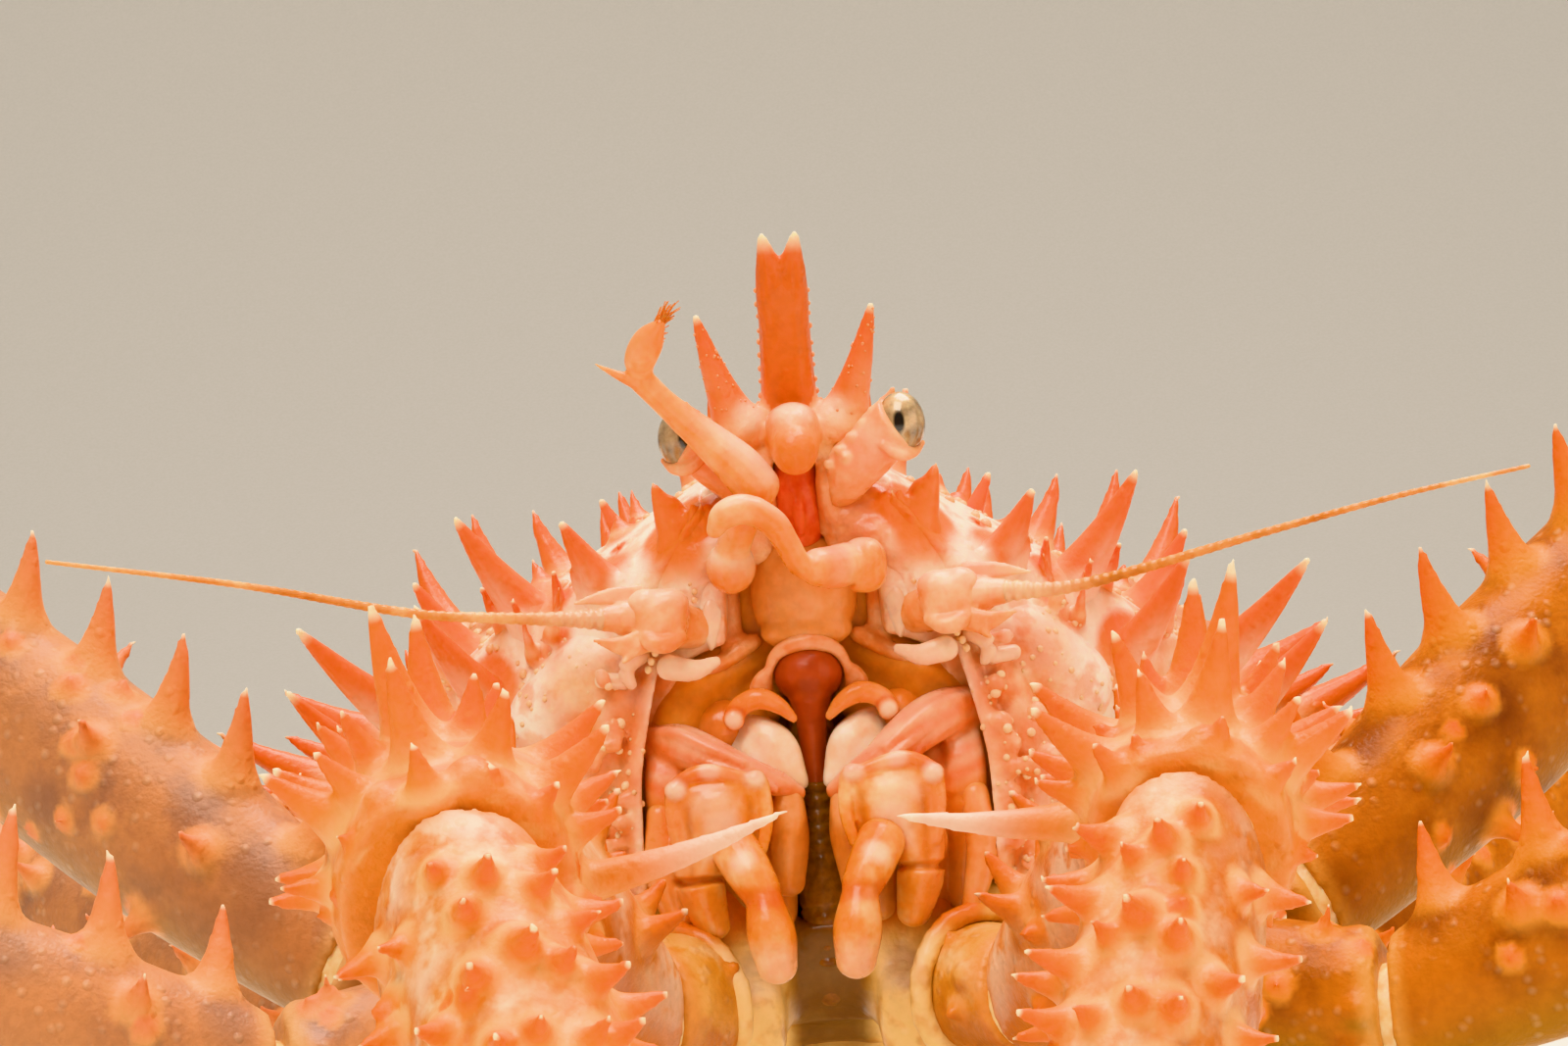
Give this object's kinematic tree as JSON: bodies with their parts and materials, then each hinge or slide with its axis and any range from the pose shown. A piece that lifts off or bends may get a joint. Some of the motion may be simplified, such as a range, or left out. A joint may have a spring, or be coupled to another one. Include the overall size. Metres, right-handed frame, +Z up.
{
  "type": "king crab",
  "caption": "Life-size still model of a spiny king crab standing on its walking legs with its head raised and its claws folded in front.",
  "frame": {"origin": "on the floor under the middle of the model's box", "axes": "+X to the crab's own left, -Y to the front where the face looks, +Z up from the floor"},
  "size_m": [0.3656, 0.24, 0.1149],
  "materials": {
    "carapace_shell": "satin horny shell, orange-red spines with pale tips on a cream ground",
    "limb_shell": "satin horny shell, orange with red-brown spots and cream joints",
    "underside_shell": "satin shell, peach and cream",
    "appendage_cuticle": "thin satin cuticle, peach and orange",
    "labrum": "moist, dark red",
    "mandible": "polished ivory",
    "cornea": "glossy grey-beige with a dark spot"
  },
  "bodies": {
    "root": {"carapace": "carapace_shell", "thorax": "underside_shell", "abdomen": "underside_shell", "labrum": "labrum", "eyestalk_left": "appendage_cuticle", "cornea_left": "cornea", "antennule_left": "appendage_cuticle", "antenna_left": "appendage_cuticle", "flagellum_left": "appendage_cuticle", "mandible_left": "mandible", "maxilliped_left": "appendage_cuticle", "cheliped_left_coxa": "underside_shell", "cheliped_left_merus": "limb_shell", "cheliped_left_carpus": "limb_shell", "cheliped_left_palm": "limb_shell", "cheliped_left_finger": "limb_shell", "leg1_left_coxa": "underside_shell", "leg1_left_merus": "limb_shell", "leg1_left_carpus": "limb_shell", "leg1_left_propodus": "limb_shell", "leg1_left_dactyl": "limb_shell", "leg2_left_coxa": "underside_shell", "leg2_left_merus": "limb_shell", "leg2_left_carpus": "limb_shell", "leg2_left_propodus": "limb_shell", "leg2_left_dactyl": "limb_shell", "leg3_left_coxa": "underside_shell", "leg3_left_merus": "limb_shell", "leg3_left_carpus": "limb_shell", "leg3_left_propodus": "limb_shell", "leg3_left_dactyl": "limb_shell", "eyestalk_right": "appendage_cuticle", "cornea_right": "cornea", "antennule_right": "appendage_cuticle", "antenna_right": "appendage_cuticle", "flagellum_right": "appendage_cuticle", "mandible_right": "mandible", "maxilliped_right": "appendage_cuticle", "cheliped_right_coxa": "underside_shell", "cheliped_right_merus": "limb_shell", "cheliped_right_carpus": "limb_shell", "cheliped_right_palm": "limb_shell", "cheliped_right_finger": "limb_shell", "leg1_right_coxa": "underside_shell", "leg1_right_merus": "limb_shell", "leg1_right_carpus": "limb_shell", "leg1_right_propodus": "limb_shell", "leg1_right_dactyl": "limb_shell", "leg2_right_coxa": "underside_shell", "leg2_right_merus": "limb_shell", "leg2_right_carpus": "limb_shell", "leg2_right_propodus": "limb_shell", "leg2_right_dactyl": "limb_shell", "leg3_right_coxa": "underside_shell", "leg3_right_merus": "limb_shell", "leg3_right_carpus": "limb_shell", "leg3_right_propodus": "limb_shell", "leg3_right_dactyl": "limb_shell"}
  },
  "joints": []
}
